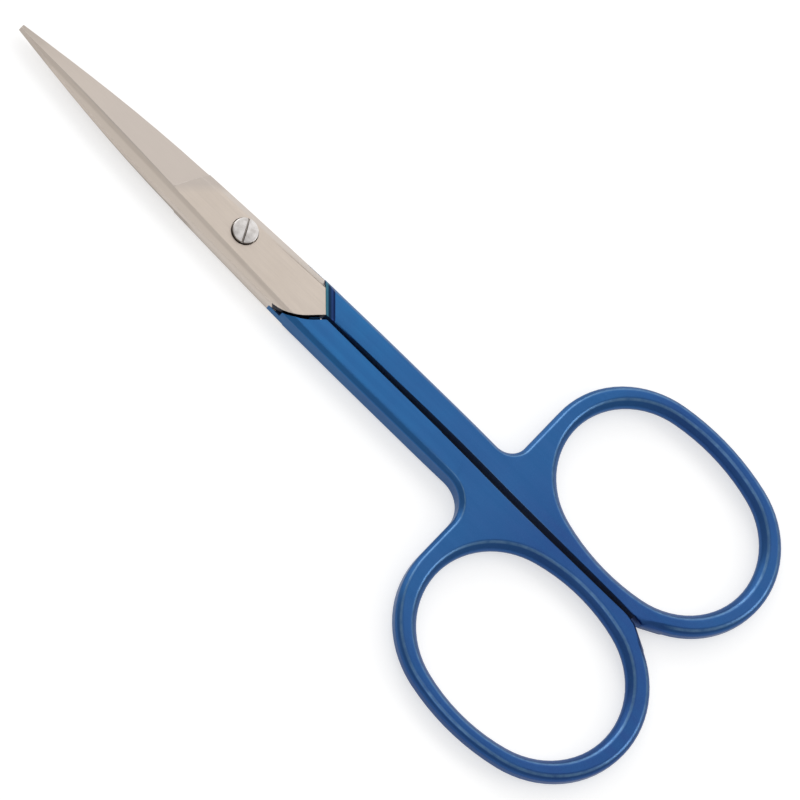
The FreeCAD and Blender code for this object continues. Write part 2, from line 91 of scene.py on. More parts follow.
def clean_copy(node, name):
    mesh = frame["nodes"][node].data.copy()
    mesh.name = name
    mesh.materials.clear()
    shape = bmesh.new()
    shape.from_mesh(mesh)
    bmesh.ops.remove_doubles(shape, verts=shape.verts, dist=WELD)
    bmesh.ops.dissolve_limit(shape, angle_limit=FLAT, verts=shape.verts, edges=shape.edges)
    shape.to_mesh(mesh)
    shape.free()
    return add_to_scene(name, mesh)


def settle(piece):
    """Make a piece's modifiers part of its mesh."""
    bpy.context.view_layer.update()
    graph = bpy.context.evaluated_depsgraph_get()
    mesh = bpy.data.meshes.new_from_object(piece.evaluated_get(graph))
    old = piece.data
    piece.modifiers.clear()
    piece.data = mesh
    bpy.data.meshes.remove(old)
    mesh.name = piece.name


print("copies are welded at", WELD / MM, "mm")

# %% [markdown]
# ## Soft rims
# A tumbled and coated rim is never a knife edge: it has a round that catches a
# line of light. The bows are the roundest, because fingers rub there, so their
# 45 degree edges get a wide round. It narrows along the shank and fades out
# before the V, and all other sharp rims get a narrow one. A Bevel modifier
# limited by edge weight makes them all in one pass, so they meet cleanly. They
# are made on whole halves, before the coat's edge is cut, so that the cut
# itself stays crisp. Points on the rounds that look half up and half sideways
# get the value 1 in an attribute, which later lightens the rims: a painted
# highlight along them, broken into rubbed patches of wear.

# %% Widths of the rounds, places along the half, and angles in degrees
WIDE_ROUND = 0.27 * MM
SHANK_ROUND = 0.11 * MM
NARROW_ROUND = 0.06 * MM
BLADE_ROUND = 0.03 * MM
SHANK_START = -10.0 * MM
FADE = 1.6 * MM
BOW_START = -32.0 * MM
BOW_FADE = 5.0 * MM
SLIT_ZONE = 0.9 * MM
HOLLOW = 1.1 * MM
OUTSIDE_HEIGHT = MM
NEARLY_FLAT = 15
SHALLOW = 25
STEEP = 60
V_LINE = (Vector(V_END) - Vector(V_POINT)).normalized()
print("widest round:", round(WIDE_ROUND / MM, 2), "mm, narrowest:", round(BLADE_ROUND / MM, 2), "mm")


# %% How wide each edge is rounded
def behind_the_v(place, side):
    """Distance from the V towards the bows, measured square to the V's side."""
    from_point = Vector((side * (place.x - CENTRE_X), place.y - PIVOT.y)) - Vector(V_POINT)
    return V_LINE.y * from_point.x - V_LINE.x * from_point.y


def round_for(edge, side):
    """The width of an edge's round, by the angle between its faces and by its place."""
    angle = math.degrees(edge.calc_face_angle(0))
    if angle < NEARLY_FLAT:
        return 0.0
    ends = [vert.co for vert in edge.verts]
    along = (ends[0].y + ends[1].y) / 2 - PIVOT.y
    fade = (SHANK_START - along) / FADE
    on_bow = min(max((BOW_START - along) / BOW_FADE, 0.0), 1.0)
    outside = all(side * (end.z - SLIDING_Z) > OUTSIDE_HEIGHT for end in ends)
    by_the_v = outside and all(behind_the_v(end, side) < HOLLOW for end in ends)
    if fade <= 0 or by_the_v:
        return BLADE_ROUND
    if angle < SHALLOW:
        return 0.0
    if angle > STEEP:
        widest = NARROW_ROUND
    elif all(abs(end.x - CENTRE_X) > SLIT_ZONE for end in ends):
        widest = SHANK_ROUND + on_bow * (WIDE_ROUND - SHANK_ROUND)
    else:
        return 0.0
    return BLADE_ROUND + min(fade, 1.0) * (widest - BLADE_ROUND)


# %% Round the edges and remember where
STRIP_SLOT = 1
HALF_UP = (0.65, 0.95)


def soften(piece, steps, width_of):
    mesh = piece.data
    shape = bmesh.new()
    shape.from_mesh(mesh)
    weights = shape.edges.layers.float.new("bevel_weight_edge")
    for edge in shape.edges:
        edge[weights] = width_of(edge) / WIDE_ROUND
    print(piece.name, sum(edge[weights] > 0 for edge in shape.edges), "edges to round")
    shape.to_mesh(mesh)
    while len(mesh.materials) <= STRIP_SLOT:
        mesh.materials.append(None)
    rounds = piece.modifiers.new("rounds", "BEVEL")
    rounds.limit_method = "WEIGHT"
    rounds.width = WIDE_ROUND
    rounds.segments = steps
    rounds.use_clamp_overlap = False
    rounds.loop_slide = False
    rounds.material = STRIP_SLOT
    settle(piece)
    mesh = piece.data
    shape.clear()
    shape.from_mesh(mesh)
    # Points chosen by the way they face carry a painted highlight on the rims, mixed with rubbed wear.
    worn_and_highlight = shape.verts.layers.float.new("worn_and_highlight")
    for vert in shape.verts:
        on_strip = all(face.material_index == STRIP_SLOT for face in vert.link_faces)
        if on_strip and HALF_UP[0] < abs(vert.normal.z) < HALF_UP[1]:
            vert[worn_and_highlight] = 1.0
    for face in shape.faces:
        face.material_index = 0
    shape.to_mesh(mesh)
    shape.free()
    mesh.materials.pop(index=STRIP_SLOT)
    print(piece.name, len(mesh.polygons), "faces")


# %% Split the long edges where the wide round fades, then round both halves
FADE_STEPS = 5
NEAR_AN_END = MM / 10
HALF_STEPS = 4


def split_across(shape, y):
    """Give each long edge that is rounded wide a point where it passes a place along the tool."""
    for edge in list(shape.edges):
        start, end = (vert.co for vert in edge.verts)
        passes = min(start.y, end.y) < y - NEAR_AN_END and max(start.y, end.y) > y + NEAR_AN_END
        off_the_slit = min(abs(start.x - CENTRE_X), abs(end.x - CENTRE_X)) > SLIT_ZONE
        if passes and off_the_slit and SHALLOW < math.degrees(edge.calc_face_angle(0)) < STEEP:
            bmesh.utils.edge_split(edge, edge.verts[0], (y - start.y) / (end.y - start.y))


halves = {}
for body, side in SIDES.items():
    half = clean_copy(body + "_half", body)
    shape = bmesh.new()
    shape.from_mesh(half.data)
    for number in range(FADE_STEPS):
        split_across(shape, PIVOT.y + SHANK_START - FADE * number / (FADE_STEPS - 1))
    shape.to_mesh(half.data)
    shape.free()
    soften(half, HALF_STEPS, lambda edge: round_for(edge, side))
    halves[body] = half

# %% [markdown]
# ## Where the blue coat ends
# On the real scissors the coat is stripped when the blades are ground, so it
# ends at the V in front of the tang. Along the side walls it runs on a little
# further, and so it does on the inside, under the other half's heel, where no
# wheel reaches. One object with two finishes would do for a picture, but
# separate pieces let each one name its own finish, so each half is cut in two
# along that edge. The cut uses exact Booleans with a block whose outline is
# the V, less a lower block for the strip on the inside.

# %% Outlines of the coat's edge
LIFT = 0.02 * MM
COAT_SKIN = 0.06 * MM
BLOCK_SIDE = 8 * MM
BLOCK_END = 40 * MM
BLOCK_DEPTH = 5 * MM
INSIDE_DEPTH = 0.3 * MM
WALL_X = WALL_COAT_END[0] - COAT_SKIN
V_EDGE = [
    (V_POINT[0], V_POINT[1] + LIFT),
    (V_END[0] - COAT_SKIN, V_END[1] + LIFT),
    (WALL_X, WALL_COAT_END[1]),
]
INSIDE_EDGE = [
    (WALL_X + MM, -7.0 * MM),
    (2.55 * MM, -7.5 * MM),
    (2.2 * MM, -8.4 * MM),
    (1.5 * MM, -9.2 * MM),
    (0.4 * MM, -10.2 * MM),
    (-BLOCK_SIDE, -10.2 * MM),
]
print("the coat's edge has", len(V_EDGE), "points outside and", len(INSIDE_EDGE), "inside")


# %% Blocks with those outlines
def block_of(name, outline, heights, side):
    """A block with an outline given from the pivot and heights from the sliding plane."""
    shape = bmesh.new()
    rings = []
    for height in heights:
        z = SLIDING_Z + side * height
        rings.append([shape.verts.new((CENTRE_X + side * x, PIVOT.y + y, z)) for x, y in outline])
    for ring in rings:
        shape.faces.new(ring)
    for i in range(len(outline)):
        shape.faces.new((rings[0][i - 1], rings[0][i], rings[1][i], rings[1][i - 1]))
    bmesh.ops.recalc_face_normals(shape, faces=shape.faces)
    mesh = bpy.data.meshes.new(name)
    shape.to_mesh(mesh)
    shape.free()
    return add_to_scene(name, mesh)


def cut(piece, block, operation):
    tool = piece.modifiers.new("cut", "BOOLEAN")
    tool.object = block
    tool.operation = operation
    tool.solver = "EXACT"
    settle(piece)
    print(piece.name, len(piece.data.polygons), "faces")


def beyond_the_coat(side):
    far = [(BLOCK_SIDE, WALL_COAT_END[1]), (BLOCK_SIDE, BLOCK_END), (-BLOCK_SIDE, BLOCK_END)]
    back = [(-BLOCK_SIDE, V_POINT[1] + LIFT)]
    block = block_of("beyond_the_coat", V_EDGE + far + back, (-LIFT, BLOCK_DEPTH), side)
    low = [(-BLOCK_SIDE, V_POINT[1] - MM), (WALL_X + MM, V_POINT[1] - MM)]
    inside = block_of("inside_strip", INSIDE_EDGE + low, (-MM, INSIDE_DEPTH), side)
    cut(block, inside, "DIFFERENCE")
    bpy.data.objects.remove(inside)
    return block


# %% Cut each half into blade and handle
blades = {}
handles = {}
for body, side in SIDES.items():
    block = beyond_the_coat(side)
    for name, pieces, operation in (("blade", blades, "INTERSECT"), ("handle", handles, "DIFFERENCE")):
        pieces[body] = add_to_scene(f"{body}_{name}", halves[body].data.copy())
        cut(pieces[body], block, operation)
    bpy.data.objects.remove(block)
    bpy.data.objects.remove(halves[body])

# %% [markdown]
# ## Smooth shading that leaves flats flat
# Smooth shading averages the faces around a point, which would make a flat
# face beside a round look dented. The Weighted Normal modifier lets the large
# faces win, so flats stay flat and only the narrow strips shade round.

# %% Weight the normals
HANDLE_SHARP = 62
BLADE_SHARP = 35
LARGE_FACES_WIN = 100


def smooth(piece, sharp_angle):
    """Shade a piece smooth, apart from edges that turn by more than an angle in degrees."""
    mesh = piece.data
    mesh.polygons.foreach_set("use_smooth", [True] * len(mesh.polygons))
    mesh.set_sharp_from_angle(angle=math.radians(sharp_angle))
    weighted = piece.modifiers.new("flat_stays_flat", "WEIGHTED_NORMAL")
    weighted.keep_sharp = True
    weighted.weight = LARGE_FACES_WIN
    settle(piece)
    print(piece.name, "is smooth up to", sharp_angle, "degrees")


for piece in handles.values():
    smooth(piece, HANDLE_SHARP)
for piece in blades.values():
    smooth(piece, BLADE_SHARP)

# %% [markdown]
# ## The seam between heel and shoulder
# Behind each heel a narrow seam is left, and a slit runs on between the shanks.
# Little light reaches in there, so these faces get a painted shade. Faces in
# the seam get the value 1 in an attribute named seam, and those in the slit a
# little less. The rule is by place and direction: standing faces of a blade
# that look back towards the bows, faces of a shoulder that look towards the
# tip or lie level, and shank walls that look across.

# %% Where the seam is, and which way its faces look
SEAM_START = -12.4 * MM
SEAM_END = -6.2 * MM
SEAM_HEIGHT = 1.05 * MM
HEEL_SIDE = 0.2 * MM
SLIT_END = -52 * MM
# The slit gets a lighter painted shade than the seam.
SLIT_SHADE = 0.75
ACROSS_SLIT = -0.8
STANDING = 0.5
TO_TIP = 0.2
TO_BOWS = -0.04
LEVEL = 0.9
print("seam from", round(SEAM_START / MM, 1), "to", round(SEAM_END / MM, 1), "mm along the half")


# %% Mark the seam
# Faces marked here get a painted shade.
def mark_seam(piece, side, looks_to_tip):
    mesh = piece.data
    seam = mesh.attributes.new("seam", "FLOAT", "FACE")
    count = 0
    for face in mesh.polygons:
        place = face.center
        direction = face.normal
        in_slit = SLIT_END < place.y - PIVOT.y < SEAM_START and abs(place.x - CENTRE_X) < SLIT_ZONE
        if in_slit and side * direction.x < ACROSS_SLIT:
            seam.data[face.index].value = SLIT_SHADE
            count += 1
        if not SEAM_START < place.y - PIVOT.y < SEAM_END:
            continue
        if abs(place.z - SLIDING_Z) > SEAM_HEIGHT:
            continue
        if not looks_to_tip and side * (place.x - CENTRE_X) > HEEL_SIDE:
            continue
        standing = abs(direction.z) < STANDING
        looks = direction.y > TO_TIP if looks_to_tip else direction.y < TO_BOWS
        level = abs(direction.z) > LEVEL and looks_to_tip
        if (standing and looks) or level:
            seam.data[face.index].value = 1.0
            count += 1
    print(piece.name, count, "faces in the seam")


for body, side in SIDES.items():
    mark_seam(blades[body], side, False)
    mark_seam(handles[body], side, True)

# %% [markdown]
# ## The pivot screw
# The screw is turned on a lathe: one profile swung round an axis, with a slot
# sawn across its crown. That is a rule, so Geometry Nodes make it. Lines and
# two arcs give the profile, Curve to Mesh swings it round a tiny circle, and a
# Boolean saws the slot. Every size is a named input of the tree.

# %% Inputs of the screw's tree
SCREW_SIZES = {
    "Crown height": 2.999 * MM,
    "Rim height": 2.88 * MM,
    "Head radius": 1.3 * MM,
    "Seat height": 2.13 * MM,
    "Journal radius": 0.95 * MM,
    "Sliding height": 1.4 * MM,
    "Thread radius": 0.75 * MM,
    "Back height": 0.25 * MM,
    "Tail radius": 1.0 * MM,
    "Tail height": 0.12 * MM,
    "Slot width": 0.22 * MM,
    "Slot floor": 2.64 * MM,
    "Slot turn": math.radians(26),
}
screw_tree = bpy.data.node_groups.new("turned_screw", "GeometryNodeTree")
sockets = screw_tree.interface
sockets.new_socket(name="Geometry", in_out="OUTPUT", socket_type="NodeSocketGeometry")
screw_inputs = {}
for name in SCREW_SIZES:
    socket = sockets.new_socket(name=name, in_out="INPUT", socket_type="NodeSocketFloat")
    screw_inputs[name] = socket.identifier
finish_socket = sockets.new_socket(name="Finish", in_out="INPUT", socket_type="NodeSocketMaterial")
screw_inputs["Finish"] = finish_socket.identifier
print(len(screw_inputs), "inputs")


# %% Helpers that add nodes to a tree
def link(tree, source, target):
    tree.links.new(source, target)


def combine(tree, operation, first, second):
    """Work out one number from two; each is a number or a socket."""
    item = tree.nodes.new("ShaderNodeMath")
    item.operation = operation
    for socket, value in zip(item.inputs, (first, second)):
        if isinstance(value, float):
            socket.default_value = value
        else:
            link(tree, value, socket)
    return item.outputs[0]


def screw_node(kind, sources):
    """A node of the screw's tree, with its inputs linked by name."""
    item = screw_tree.nodes.new(kind)
    for label, source in sources.items():
        link(screw_tree, source, item.inputs[label])
    return item


def screw_point(sources):
    return screw_node("ShaderNodeCombineXYZ", sources).outputs[0]


# %% The profile, from the crown's middle down to the tail's
ARC_STEPS = 10
HALFWAY = 0.5
RISE_HALFWAY = 0.75
CORNERS = [
    ("Head radius", "Rim height"),
    ("Head radius", "Seat height"),
    ("Journal radius", "Seat height"),
    ("Journal radius", "Sliding height"),
    ("Thread radius", "Sliding height"),
    ("Thread radius", "Back height"),
    ("Tail radius", "Back height"),
]
size = screw_node("NodeGroupInput", {}).outputs


def screw_dome(radius, rim, top):
    """An arc from the axis to the rim, through a point at half the radius."""
    height = combine(screw_tree, "SUBTRACT", size[top], size[rim])
    rise = combine(screw_tree, "MULTIPLY", height, RISE_HALFWAY)
    half = combine(screw_tree, "MULTIPLY", size[radius], HALFWAY)
    middle = screw_point({"X": half, "Y": combine(screw_tree, "ADD", size[rim], rise)})
    arc = screw_node("GeometryNodeCurveArc", {})
    arc.mode = "POINTS"
    arc.inputs["Resolution"].default_value = ARC_STEPS
    link(screw_tree, screw_point({"Y": size[top]}), arc.inputs["Start"])
    link(screw_tree, middle, arc.inputs["Middle"])
    link(screw_tree, screw_point({"X": size[radius], "Y": size[rim]}), arc.inputs["End"])
    return arc.outputs["Curve"]


profile = screw_node("GeometryNodeJoinGeometry", {})
link(screw_tree, screw_dome("Head radius", "Rim height", "Crown height"), profile.inputs[0])
for ends in zip(CORNERS, CORNERS[1:]):
    start, end = (screw_point({"X": size[radius], "Y": size[height]}) for radius, height in ends)
    line = screw_node("GeometryNodeCurvePrimitiveLine", {"Start": start, "End": end})
    link(screw_tree, line.outputs["Curve"], profile.inputs[0])
link(screw_tree, screw_dome("Tail radius", "Back height", "Tail height"), profile.inputs[0])
print(len(screw_tree.nodes), "nodes draw the profile")

# %% Swing the profile round
TURN_STEPS = 96
SPINDLE_RADIUS = 0.00001 * MM
as_wire = screw_node("GeometryNodeCurveToMesh", {"Curve": profile.outputs[0]})
joined = screw_node("GeometryNodeMergeByDistance", {"Geometry": as_wire.outputs[0]})
joined.inputs["Distance"].default_value = WELD
one_line = screw_node("GeometryNodeMeshToCurve", {"Mesh": joined.outputs[0]})
spindle = screw_node("GeometryNodeCurvePrimitiveCircle", {})
spindle.inputs["Resolution"].default_value = TURN_STEPS
spindle.inputs["Radius"].default_value = SPINDLE_RADIUS
turned = screw_node("GeometryNodeCurveToMesh", {
    "Curve": spindle.outputs["Curve"],
    "Profile Curve": one_line.outputs[0],
})
closed = screw_node("GeometryNodeMergeByDistance", {"Geometry": turned.outputs[0]})
closed.inputs["Distance"].default_value = WELD
upright = screw_node("GeometryNodeTransform", {"Geometry": closed.outputs[0]})
upright.inputs["Rotation"].default_value = (math.pi, 0, 0)
print(TURN_STEPS, "steps round the axis")

# %% Saw the slot
SAW_LENGTH = 4.0
saw_size = screw_point({
    "X": combine(screw_tree, "MULTIPLY", size["Head radius"], SAW_LENGTH),
    "Y": size["Slot width"],
    "Z": size["Head radius"],
})
saw = screw_node("GeometryNodeMeshCube", {"Size": saw_size})
half_saw = combine(screw_tree, "MULTIPLY", size["Head radius"], HALFWAY)
placed_saw = screw_node("GeometryNodeTransform", {
    "Geometry": saw.outputs["Mesh"],
    "Translation": screw_point({"Z": combine(screw_tree, "ADD", size["Slot floor"], half_saw)}),
    "Rotation": screw_point({"Z": size["Slot turn"]}),
})
slotted = screw_node("GeometryNodeMeshBoolean", {})
slotted.operation = "DIFFERENCE"
slotted.solver = "EXACT"
link(screw_tree, upright.outputs[0], slotted.inputs["Mesh 1"])
link(screw_tree, placed_saw.outputs[0], slotted.inputs["Mesh 2"])
print("the saw is", SAW_LENGTH, "head radii long")

# %% Put the screw on its axis and hand it over
on_axis = screw_node("GeometryNodeTransform", {"Geometry": slotted.outputs["Mesh"]})
on_axis.inputs["Translation"].default_value = (PIVOT.x, PIVOT.y, 0)
realized = screw_node("GeometryNodeRealizeInstances", {"Geometry": on_axis.outputs[0]})
finished = screw_node("GeometryNodeSetMaterial", {
    "Geometry": realized.outputs[0],
    "Material": size["Finish"],
})
screw_node("NodeGroupOutput", {"Geometry": finished.outputs[0]})
print(len(screw_tree.nodes), "nodes in all")

# %% [markdown]
# ## Effects that several finishes share
# Some effects come back in several finishes: fine lines left by grinding or
# polishing, the soft cloudiness of a handled surface, rims rubbed bright in
# patches with a painted highlight along them, and painted shade in the seam.
# Each is a shader node group with named inputs, built once.
# They read Object coordinates or an attribute, so a pattern stays in place on
# its piece. One more group gives a point's place on its half, turned over for
# the rear half, so that one drawing of bands and strips serves for both.

# %% Helpers for the groups
NOISE_ROUGHNESS = 0.6


def new_group(name, inputs, output):
    tree = bpy.data.node_groups.new(name, "ShaderNodeTree")
    for label, value in inputs.items():
        socket = tree.interface.new_socket(name=label, in_out="INPUT", socket_type="NodeSocketFloat")
        socket.default_value = value
    tree.interface.new_socket(name=output, in_out="OUTPUT", socket_type="NodeSocketFloat")
    return tree, tree.nodes.new("NodeGroupInput"), tree.nodes.new("NodeGroupOutput")


def noise_at(tree, scale, stretch, detail):
    """Noise on Object coordinates, in patterns per millimetre, stretched along axes."""
    place = tree.nodes.new("ShaderNodeTexCoord")
    stretched = tree.nodes.new("ShaderNodeMapping")
    stretched.inputs["Scale"].default_value = tuple(s / MM for s in stretch)
    noise = tree.nodes.new("ShaderNodeTexNoise")
    noise.inputs["Detail"].default_value = detail
    noise.inputs["Roughness"].default_value = NOISE_ROUGHNESS
    link(tree, place.outputs["Object"], stretched.inputs["Vector"])
    link(tree, stretched.outputs[0], noise.inputs["Vector"])
    if isinstance(scale, float):
        noise.inputs["Scale"].default_value = scale
    else:
        link(tree, scale, noise.inputs["Scale"])
    return noise.outputs["Fac"]


def marked(tree, attribute, amount):
    """An attribute of the mesh, times an amount."""
    item = tree.nodes.new("ShaderNodeAttribute")
    item.attribute_name = attribute
    return combine(tree, "MULTIPLY", item.outputs["Fac"], amount)


# %% Lines along the tool, and the cloudiness of a handled surface
LONG_AND_THIN = (1, 0.03, 1)
ALL_WAYS = (1, 1, 1)
lines_group, into, out = new_group("lengthwise_lines", {"Lines per mm": 6.0}, "Lines")
link(lines_group, noise_at(lines_group, into.outputs[0], LONG_AND_THIN, detail=3), out.inputs[0])
cloud_group, into, out = new_group("handled_cloud", {"Clouds per mm": 0.3}, "Cloud")
link(cloud_group, noise_at(cloud_group, into.outputs[0], ALL_WAYS, detail=4), out.inputs[0])
print("groups:", lines_group.name, cloud_group.name)

# %% Rims rubbed bright in patches with a painted highlight, and painted shade in the seam
PATCHES_PER_MM = 1.4
rim_group, into, out = new_group("rubbed_and_highlit_rims", {"Amount": 1.0}, "Mask")
patches = noise_at(rim_group, PATCHES_PER_MM, ALL_WAYS, detail=3)
rubbed_and_highlit = combine(rim_group, "MULTIPLY", marked(rim_group, "worn_and_highlight", into.outputs[0]), patches)
link(rim_group, rubbed_and_highlit, out.inputs[0])
# Painted shade in the seam and the slit.
seam_group, into, out = new_group("seam_shade", {"Amount": 1.0}, "Mask")
link(seam_group, marked(seam_group, "seam", into.outputs[0]), out.inputs[0])
print("groups:", rim_group.name, seam_group.name)

# %% Place on the half, the same for both halves
place_group = bpy.data.node_groups.new("place_on_half", "ShaderNodeTree")
place_group.interface.new_socket(name="Place", in_out="OUTPUT", socket_type="NodeSocketVector")
out = place_group.nodes.new("NodeGroupOutput")
place = place_group.nodes.new("ShaderNodeTexCoord")
from_centre = place_group.nodes.new("ShaderNodeVectorMath")
from_centre.operation = "SUBTRACT"
from_centre.inputs[1].default_value = (CENTRE_X, PIVOT.y, SLIDING_Z)
link(place_group, place.outputs["Object"], from_centre.inputs[0])
parts = place_group.nodes.new("ShaderNodeSeparateXYZ")
link(place_group, from_centre.outputs[0], parts.inputs[0])
which = place_group.nodes.new("ShaderNodeMath")
which.operation = "SIGN"
link(place_group, parts.outputs["Z"], which.inputs[0])
turned_over = place_group.nodes.new("ShaderNodeCombineXYZ")
for axis in ("X", "Z"):
    flipped = combine(place_group, "MULTIPLY", parts.outputs[axis], which.outputs[0])
    link(place_group, flipped, turned_over.inputs[axis])
link(place_group, parts.outputs["Y"], turned_over.inputs["Y"])
link(place_group, turned_over.outputs[0], out.inputs[0])
print("group:", place_group.name)


# %% Helpers that start a finish, place a group and map a value
def new_finish(name):
    finish = bpy.data.materials.new(name)
    finish.use_nodes = True
    return finish, finish.node_tree, finish.node_tree.nodes["Principled BSDF"]


def use_group(tree, group, label, value):
    item = tree.nodes.new("ShaderNodeGroup")
    item.node_tree = group
    item.inputs[label].default_value = value
    return item.outputs[0]


def spread(tree, value, low, high, start=0.0, end=1.0):
    """Map a value from the range start to end onto the range low to high."""
    item = tree.nodes.new("ShaderNodeMapRange")
    for label, number in (("From Min", start), ("From Max", end), ("To Min", low), ("To Max", high)):
        item.inputs[label].default_value = number
    link(tree, value, item.inputs["Value"])
    return item.outputs["Result"]


def bump(tree, height, depth, strength):
    item = tree.nodes.new("ShaderNodeBump")
    item.inputs["Distance"].default_value = depth
    item.inputs["Strength"].default_value = strength
    link(tree, height, item.inputs["Height"])
    return item.outputs["Normal"]


# %% Helpers that mix colours
def tinted(tree, mask, first, second):
    """Mix two colours by a mask; a colour is three numbers or a socket."""
    item = tree.nodes.new("ShaderNodeMix")
    item.data_type = "RGBA"
    link(tree, mask, item.inputs["Factor"])
    for label, colour in (("A", first), ("B", second)):
        socket = next(s for s in item.inputs if s.name == label and s.type == "RGBA")
        if isinstance(colour, tuple):
            socket.default_value = (*colour, 1)
        else:
            link(tree, colour, socket)
    return next(s for s in item.outputs if s.type == "RGBA")


def layered(tree, colour, layers):
    """Lay further colours over a colour, each by its own mask."""
    for mask, over in layers:
        colour = tinted(tree, mask, colour, over)
    return colour


def ramp(tree, value, stops):
    """Colours at places between 0 and 1; each stop has a place, a colour and an alpha."""
    item = tree.nodes.new("ShaderNodeValToRGB")
    points = item.color_ramp.elements
    while len(points) < len(stops):
        points.new(1.0)
    for point, (position, colour, alpha) in zip(points, stops):
        point.position = position
        point.color = (*colour, alpha)
    link(tree, value, item.inputs[0])
    return item.outputs["Color"], item.outputs["Alpha"]


# %% Helpers that find a zone on the half
def on_half(tree, direction, start, end):
    """0 to 1 along a direction on the half, given in its own drawing."""
    item = tree.nodes.new("ShaderNodeGroup")
    item.node_tree = place_group
    measure = tree.nodes.new("ShaderNodeVectorMath")
    measure.operation = "DOT_PRODUCT"
    measure.inputs[1].default_value = direction
    link(tree, item.outputs[0], measure.inputs[0])
    return spread(tree, measure.outputs["Value"], 0.0, 1.0, start, end)


def zones_on(tree, zones):
    """A mask for each zone: a direction, and the places along it in mm where it starts and is full."""
    masks = {}
    for name, (direction, start, full) in zones.items():
        masks[name] = on_half(tree, direction, start * MM, full * MM)
    return masks


# %% [markdown]
# ## Ground steel
# The blades are belt-ground: warm grey, satin, with fine lines and slightly
# cloudy. A metal takes its brightness from what it mirrors, so one warm grey
# serves nearly everywhere, and the lines work through roughness and a very
# shallow bump. A few zones differ a little. Beyond the plunge line, where the
# outer face was ground again, the steel is greyer. The left bevel's outer part
# and the low walls get painted light, lighter than the rest, and a narrow strip
# along the tang's right rim is cooler. The rims carry a painted highlight in
# rubbed patches, and the seam a painted shade.

# %% Zones and colours of the blades
ACROSS_HALF = (1, 0, 0)
ALONG_HALF = (0, 1, 0)
UP_FROM_SLIDING = (0, 0, 1)
SQUARE_TO_RIDGE = (1, -0.05, 0)
SQUARE_TO_PLUNGE = (0.9, 1, 0)
SQUARE_TO_RIM = (1, 0.0311, 0)
STEEL_ZONES = {
    "beyond plunge": (SQUARE_TO_PLUNGE, 5.74, 6.94),
    "near tip": (ALONG_HALF, 16, 28),
    "right of ridge": (SQUARE_TO_RIDGE, -1.85, -1.75),
    "outer bevel": (SQUARE_TO_RIDGE, -2.10, -2.28),
    "right rim": (SQUARE_TO_RIM, 1.98, 2.03),
    "low down": (UP_FROM_SLIDING, 0.66, 0.4),
}
CLOUDY_STEEL = ((0.56, 0.485, 0.42), (0.63, 0.555, 0.49))
LINE_STEEL = (0.50, 0.44, 0.39)
STRIP_STEEL = (0.60, 0.555, 0.52)
# Painted light: the outer bevel and the low walls are lighter to stand for the light they catch.
OUTER_BEVEL_LIT_STEEL = (0.71, 0.625, 0.55)
GREYER_STEEL = (0.50, 0.445, 0.405)
LOW_WALL_LIT_STEEL = (0.78, 0.70, 0.63)
RUBBED_AND_HIGHLIT_STEEL = (0.82, 0.78, 0.74)
# Painted shade for the seam.
SEAM_SHADE_STEEL = (0.006, 0.011, 0.022)
print(len(STEEL_ZONES), "zones on a blade")

# %% The blades' finish
BUMP_DEPTH = 0.004 * MM
ground_steel, tree, shader = new_finish("belt_ground_steel")
lines = use_group(tree, lines_group, "Lines per mm", 7.0)
cloud = use_group(tree, cloud_group, "Clouds per mm", 0.5)
# Painted highlight on the rounds, in rubbed patches.
rims = use_group(tree, rim_group, "Amount", 1.2)
seam = use_group(tree, seam_group, "Amount", 0.96)
zone = zones_on(tree, STEEL_ZONES)
beyond = zone["beyond plunge"]
less_at_tip = spread(tree, zone["near tip"], 1.0, 0.35)
greyer = combine(tree, "MULTIPLY", spread(tree, beyond, 0.0, 0.85), less_at_tip)
greyer = combine(tree, "MULTIPLY", greyer, zone["right of ridge"])
strip = combine(tree, "MULTIPLY", zone["right rim"], spread(tree, beyond, 0.55, 0.0))
# Painted light on the low walls, before the plunge.
lit_low_wall = spread(tree, zone["low down"], 0.0, 0.7)
lit_low_wall = combine(tree, "MULTIPLY", lit_low_wall, spread(tree, beyond, 1.0, 0.0))
steel_colour = layered(tree, tinted(tree, cloud, *CLOUDY_STEEL), [
    (spread(tree, lines, 0.0, 0.35, start=0.35, end=0.75), LINE_STEEL),
    (strip, STRIP_STEEL),
    (spread(tree, zone["outer bevel"], 0.0, 0.9), OUTER_BEVEL_LIT_STEEL),
    (greyer, GREYER_STEEL),
    (lit_low_wall, LOW_WALL_LIT_STEEL),
    (rims, RUBBED_AND_HIGHLIT_STEEL),
    (seam, SEAM_SHADE_STEEL),
])
link(tree, steel_colour, shader.inputs["Base Color"])
shader.inputs["Metallic"].default_value = 1.0
steel_rough = combine(tree, "ADD", spread(tree, lines, 0.30, 0.42), spread(tree, cloud, -0.04, 0.06))
link(tree, steel_rough, shader.inputs["Roughness"])
link(tree, bump(tree, lines, BUMP_DEPTH, strength=0.5), shader.inputs["Normal"])
print(ground_steel.name, len(tree.nodes), "nodes")

# %% [markdown]
# ## Blue coat
# The coat is a thin metallic film, so it mirrors light in its own colour. It
# is a little brighter and greener near the V and a little more violet at the
# bows, and painted shade darkens the bows' long sides. There are faint
# polishing lines under it and a fine grain in it. The bows' rims carry a
# painted highlight, broken into rubbed patches. In the hollow along the V,
# narrow bands from teal to navy are a painted reflection of the hollow's
# curve. The seam and the slit get a painted shade, dull and nearly black.

